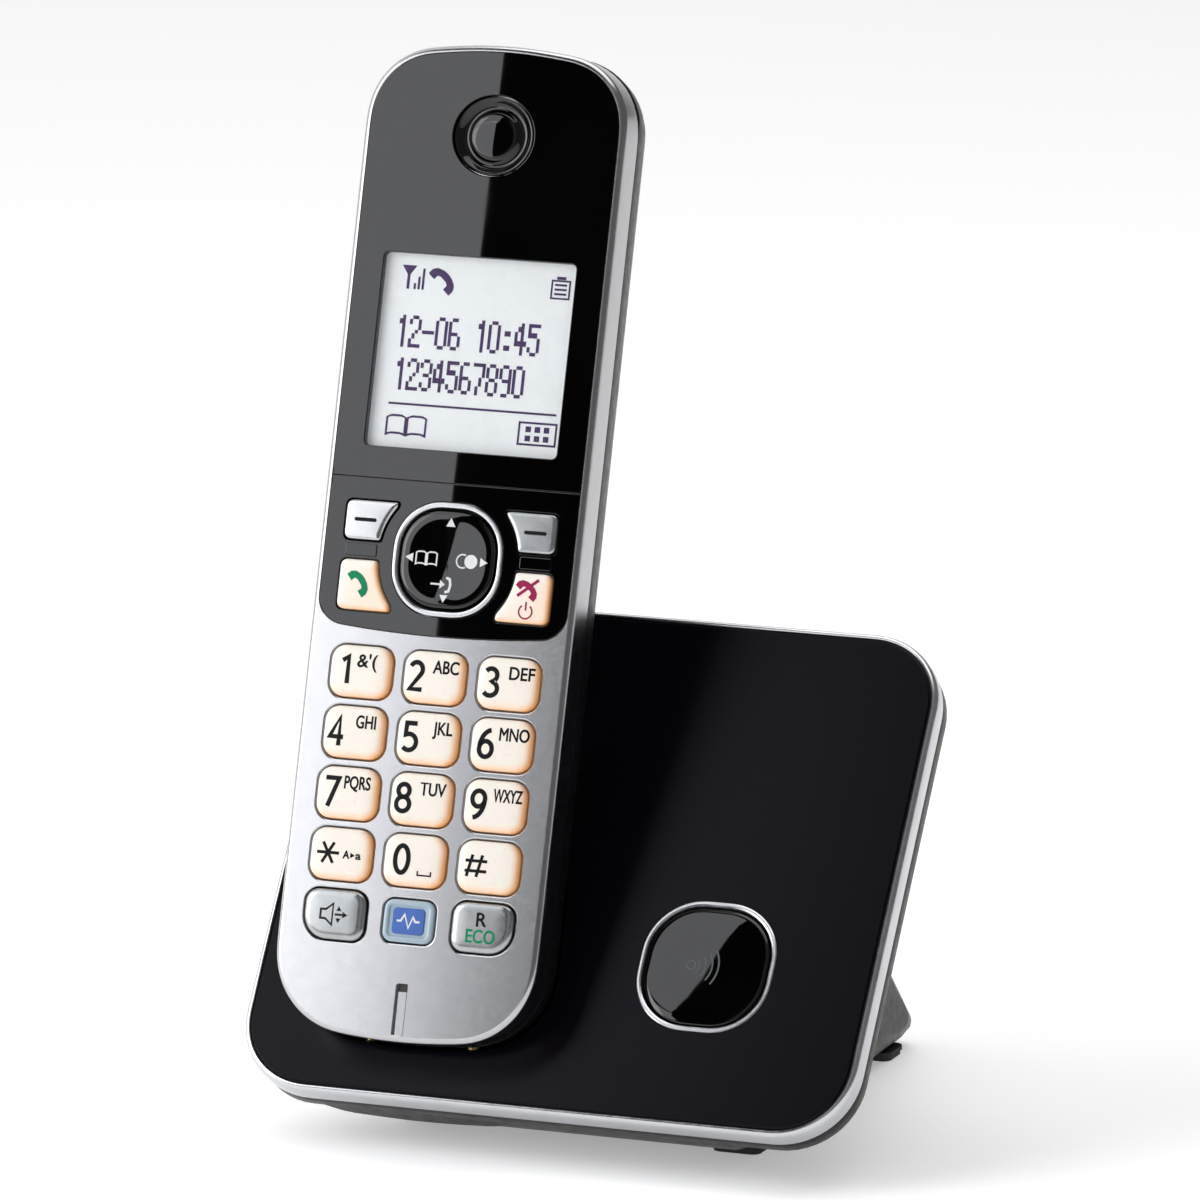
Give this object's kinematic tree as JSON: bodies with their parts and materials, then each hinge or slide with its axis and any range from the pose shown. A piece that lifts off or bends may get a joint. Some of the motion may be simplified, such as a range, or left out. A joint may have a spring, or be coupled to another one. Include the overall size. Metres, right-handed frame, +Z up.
{
  "type": "cordless phone with charging base",
  "caption": "Slim cordless telephone handset with display, navigation key and dial pad, seated in a leaning rounded-square charging base with a locator button and rear stand.",
  "frame": {"origin": "on the ground, under the middle of the whole object's outer box", "axes": "+Z up, the display and the base's face look towards -Y and up, +X to the object's right as seen from the front"},
  "size_m": [0.1068, 0.1014, 0.1762],
  "materials": {
    "silver": "satin silver paint",
    "black_shell": "satin moulded",
    "black_textured": "fine spark texture",
    "gloss_black": "polished",
    "clear_window": "polished",
    "lcd": "smooth",
    "white_diffuser": "matte",
    "cream_key": "satin translucent",
    "grey_key": "satin",
    "clear_key": "translucent",
    "silicone": "matte",
    "board": "solder mask",
    "steel": "plain",
    "brass": "plated",
    "cell_sleeve": "printed sleeve",
    "jack_black": "moulded",
    "foot_rubber": "matte"
  },
  "bodies": {
    "base": {"base_rear_case": "black_shell", "base_front_panel": "black_textured", "base_trim": "silver", "cradle_cup": "black_shell", "stand_housing": "black_shell", "line_jack": "jack_black", "dc_inlet": "jack_black", "base_feet": "foot_rubber", "locator_ring": "silver", "locator_switch": "steel", "base_pcb": "board", "base_shield": "steel", "base_antenna": "brass", "base_screws": "steel"},
    "handset": {"handset_front_cover": "silver", "handset_rear_cover": "black_shell", "display_panel": "gloss_black", "display_lens": "clear_window", "lcd_glass": "lcd", "lcd_frame": "white_diffuser", "nav_panel": "gloss_black", "nav_ring": "silver", "keypad_mat": "silicone", "handset_pcb": "board", "handset_shield": "steel", "earpiece_cap": "gloss_black", "earpiece_speaker": "steel", "ringer_speaker": "steel", "microphone": "steel", "battery_cells": "cell_sleeve", "battery_springs": "steel", "handset_contacts": "brass", "handset_screws": "steel"},
    "battery_door": {"battery_cover": "black_shell"},
    "nav_gimbal": {"nav_pivot": "jack_black"},
    "nav_cap": {"nav_key": "gloss_black"},
    "locator": {"locator_button": "gloss_black"},
    "contact_left": {"charge_contact_left": "brass"},
    "contact_right": {"charge_contact_right": "brass"},
    "key_1_cap": {"key_1": "cream_key"},
    "key_2_cap": {"key_2": "cream_key"},
    "key_3_cap": {"key_3": "cream_key"},
    "key_4_cap": {"key_4": "cream_key"},
    "key_5_cap": {"key_5": "cream_key"},
    "key_6_cap": {"key_6": "cream_key"},
    "key_7_cap": {"key_7": "cream_key"},
    "key_8_cap": {"key_8": "cream_key"},
    "key_9_cap": {"key_9": "cream_key"},
    "key_star_cap": {"key_star": "cream_key"},
    "key_0_cap": {"key_0": "cream_key"},
    "key_hash_cap": {"key_hash": "cream_key"},
    "soft_key_left_cap": {"soft_key_left": "grey_key"},
    "soft_key_right_cap": {"soft_key_right": "grey_key"},
    "talk_key_cap": {"talk_key": "cream_key"},
    "off_key_cap": {"off_key": "cream_key"},
    "speaker_key_cap": {"speaker_key": "grey_key"},
    "clear_key_cap": {"clear_key": "clear_key"},
    "recall_key_cap": {"recall_key": "grey_key"}
  },
  "joints": [
    {"name": "handset_lift", "type": "slide", "parent": "base", "child": "handset", "axis": [0, 0.2957, 0.9553], "range_m": [0, 0.15]},
    {"name": "battery_door_slide", "type": "slide", "parent": "handset", "child": "battery_door", "axis": [0, 0.2957, 0.9553], "range_m": [0, 0.07]},
    {"name": "nav_pitch", "type": "hinge", "parent": "handset", "child": "nav_gimbal", "pos_m": [-0.0227, -0.02399, 0.09427], "axis": [1, 0, 0], "range_deg": [-2.5, 2.5], "stiffness_Nm_per_rad": 0.05},
    {"name": "nav_roll", "type": "hinge", "parent": "nav_gimbal", "child": "nav_cap", "pos_m": [-0.0227, -0.02476, 0.09451], "axis": [0, 0.2957, 0.9553], "range_deg": [-2.5, 2.5], "stiffness_Nm_per_rad": 0.05},
    {"name": "locator_press", "type": "slide", "parent": "base", "child": "locator", "axis": [0, 0.809, -0.5878], "range_m": [0, 0.0005], "stiffness_N_per_m": 500, "springref_m": -0.0003},
    {"name": "contact_left_spring", "type": "slide", "parent": "base", "child": "contact_left", "axis": [0, 0.2957, 0.9553], "range_m": [-0.0012, 0], "stiffness_N_per_m": 200, "springref_m": 0.0003},
    {"name": "contact_right_spring", "type": "slide", "parent": "base", "child": "contact_right", "axis": [0, 0.2957, 0.9553], "range_m": [-0.0012, 0], "stiffness_N_per_m": 200, "springref_m": 0.0003},
    {"name": "key_1_press", "type": "slide", "parent": "handset", "child": "key_1_cap", "axis": [0, 0.9553, -0.2957], "range_m": [0, 0.0008], "stiffness_N_per_m": 400, "springref_m": -0.0004},
    {"name": "key_2_press", "type": "slide", "parent": "handset", "child": "key_2_cap", "axis": [0, 0.9553, -0.2957], "range_m": [0, 0.0008], "stiffness_N_per_m": 400, "springref_m": -0.0004},
    {"name": "key_3_press", "type": "slide", "parent": "handset", "child": "key_3_cap", "axis": [0, 0.9553, -0.2957], "range_m": [0, 0.0008], "stiffness_N_per_m": 400, "springref_m": -0.0004},
    {"name": "key_4_press", "type": "slide", "parent": "handset", "child": "key_4_cap", "axis": [0, 0.9553, -0.2957], "range_m": [0, 0.0008], "stiffness_N_per_m": 400, "springref_m": -0.0004},
    {"name": "key_5_press", "type": "slide", "parent": "handset", "child": "key_5_cap", "axis": [0, 0.9553, -0.2957], "range_m": [0, 0.0008], "stiffness_N_per_m": 400, "springref_m": -0.0004},
    {"name": "key_6_press", "type": "slide", "parent": "handset", "child": "key_6_cap", "axis": [0, 0.9553, -0.2957], "range_m": [0, 0.0008], "stiffness_N_per_m": 400, "springref_m": -0.0004},
    {"name": "key_7_press", "type": "slide", "parent": "handset", "child": "key_7_cap", "axis": [0, 0.9553, -0.2957], "range_m": [0, 0.0008], "stiffness_N_per_m": 400, "springref_m": -0.0004},
    {"name": "key_8_press", "type": "slide", "parent": "handset", "child": "key_8_cap", "axis": [0, 0.9553, -0.2957], "range_m": [0, 0.0008], "stiffness_N_per_m": 400, "springref_m": -0.0004},
    {"name": "key_9_press", "type": "slide", "parent": "handset", "child": "key_9_cap", "axis": [0, 0.9553, -0.2957], "range_m": [0, 0.0008], "stiffness_N_per_m": 400, "springref_m": -0.0004},
    {"name": "key_star_press", "type": "slide", "parent": "handset", "child": "key_star_cap", "axis": [0, 0.9553, -0.2957], "range_m": [0, 0.0008], "stiffness_N_per_m": 400, "springref_m": -0.0004},
    {"name": "key_0_press", "type": "slide", "parent": "handset", "child": "key_0_cap", "axis": [0, 0.9553, -0.2957], "range_m": [0, 0.0008], "stiffness_N_per_m": 400, "springref_m": -0.0004},
    {"name": "key_hash_press", "type": "slide", "parent": "handset", "child": "key_hash_cap", "axis": [0, 0.9553, -0.2957], "range_m": [0, 0.0008], "stiffness_N_per_m": 400, "springref_m": -0.0004},
    {"name": "soft_key_left_press", "type": "slide", "parent": "handset", "child": "soft_key_left_cap", "axis": [0, 0.9553, -0.2957], "range_m": [0, 0.0004], "stiffness_N_per_m": 400, "springref_m": -0.0004},
    {"name": "soft_key_right_press", "type": "slide", "parent": "handset", "child": "soft_key_right_cap", "axis": [0, 0.9553, -0.2957], "range_m": [0, 0.0004], "stiffness_N_per_m": 400, "springref_m": -0.0004},
    {"name": "talk_key_press", "type": "slide", "parent": "handset", "child": "talk_key_cap", "axis": [0, 0.9553, -0.2957], "range_m": [0, 0.0004], "stiffness_N_per_m": 400, "springref_m": -0.0004},
    {"name": "off_key_press", "type": "slide", "parent": "handset", "child": "off_key_cap", "axis": [0, 0.9553, -0.2957], "range_m": [0, 0.0004], "stiffness_N_per_m": 400, "springref_m": -0.0004},
    {"name": "speaker_key_press", "type": "slide", "parent": "handset", "child": "speaker_key_cap", "axis": [0, 0.9553, -0.2957], "range_m": [0, 0.0008], "stiffness_N_per_m": 400, "springref_m": -0.0004},
    {"name": "clear_key_press", "type": "slide", "parent": "handset", "child": "clear_key_cap", "axis": [0, 0.9553, -0.2957], "range_m": [0, 0.0008], "stiffness_N_per_m": 400, "springref_m": -0.0004},
    {"name": "recall_key_press", "type": "slide", "parent": "handset", "child": "recall_key_cap", "axis": [0, 0.9553, -0.2957], "range_m": [0, 0.0008], "stiffness_N_per_m": 400, "springref_m": -0.0004}
  ]
}
